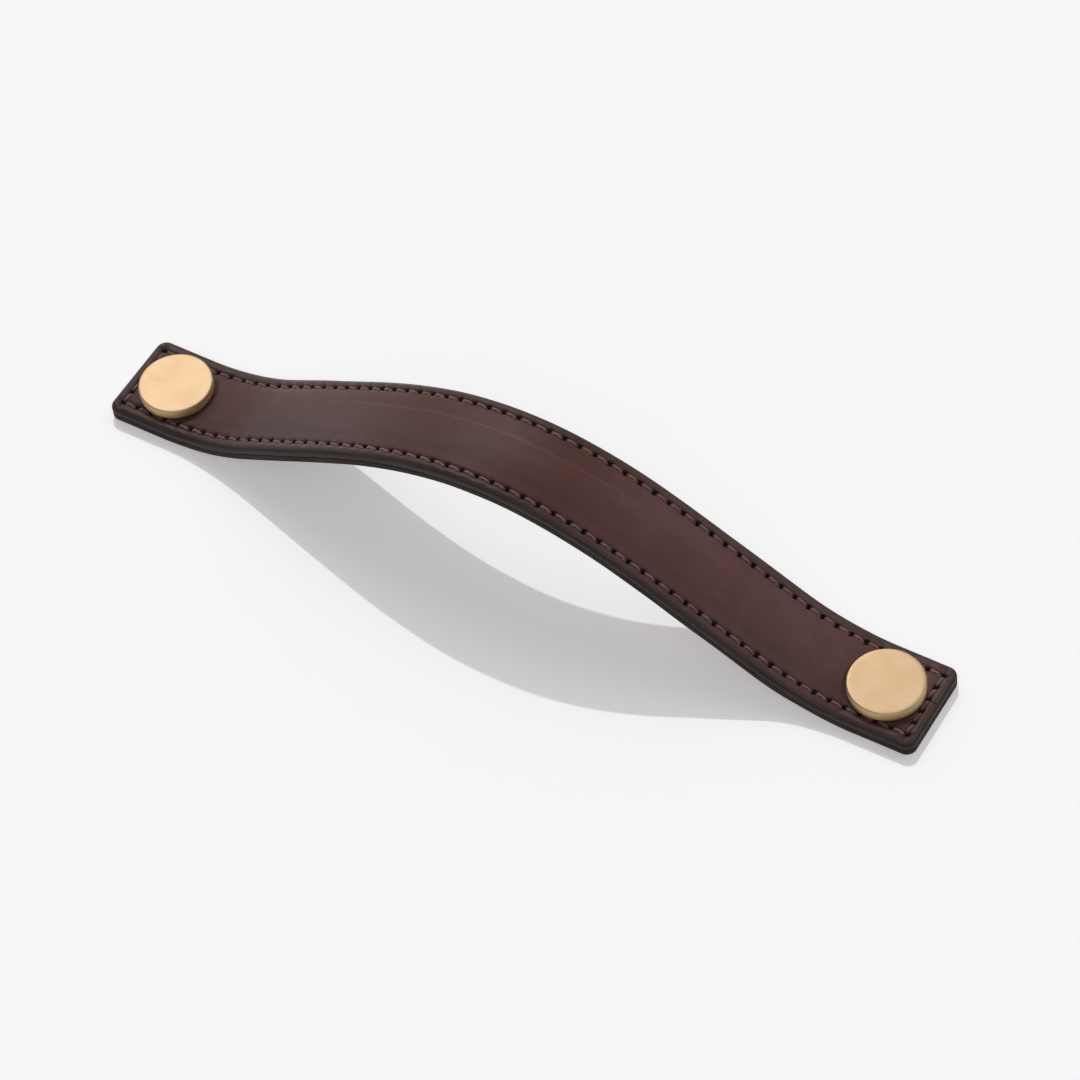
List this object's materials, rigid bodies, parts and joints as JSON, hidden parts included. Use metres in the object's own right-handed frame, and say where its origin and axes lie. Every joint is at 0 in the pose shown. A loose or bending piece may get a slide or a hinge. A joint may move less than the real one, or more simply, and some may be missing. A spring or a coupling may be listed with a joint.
{
  "type": "leather strap pull",
  "caption": "Arched leather strap pull, two stitched plies held flat at each end by a turned brass button, for a drawer or cupboard door.",
  "frame": {"origin": "middle of the back, on the plane of the door, halfway between the two fixing screws", "axes": "+X along the strap from the left button to the right one, +Y across the strap, +Z out of the door"},
  "size_m": [0.253, 0.028, 0.0414],
  "materials": {
    "face_leather": "satin dyed leather with a fine grain",
    "back_leather": "matt dyed leather, burnished edge",
    "thread": "waxed sewing thread",
    "brass": "satin brushed brass"
  },
  "bodies": {
    "root": {"face_strap": "face_leather", "backing_strap": "back_leather", "needle_thread": "thread", "bobbin_thread": "thread", "left_button": "brass", "right_button": "brass"}
  },
  "joints": []
}
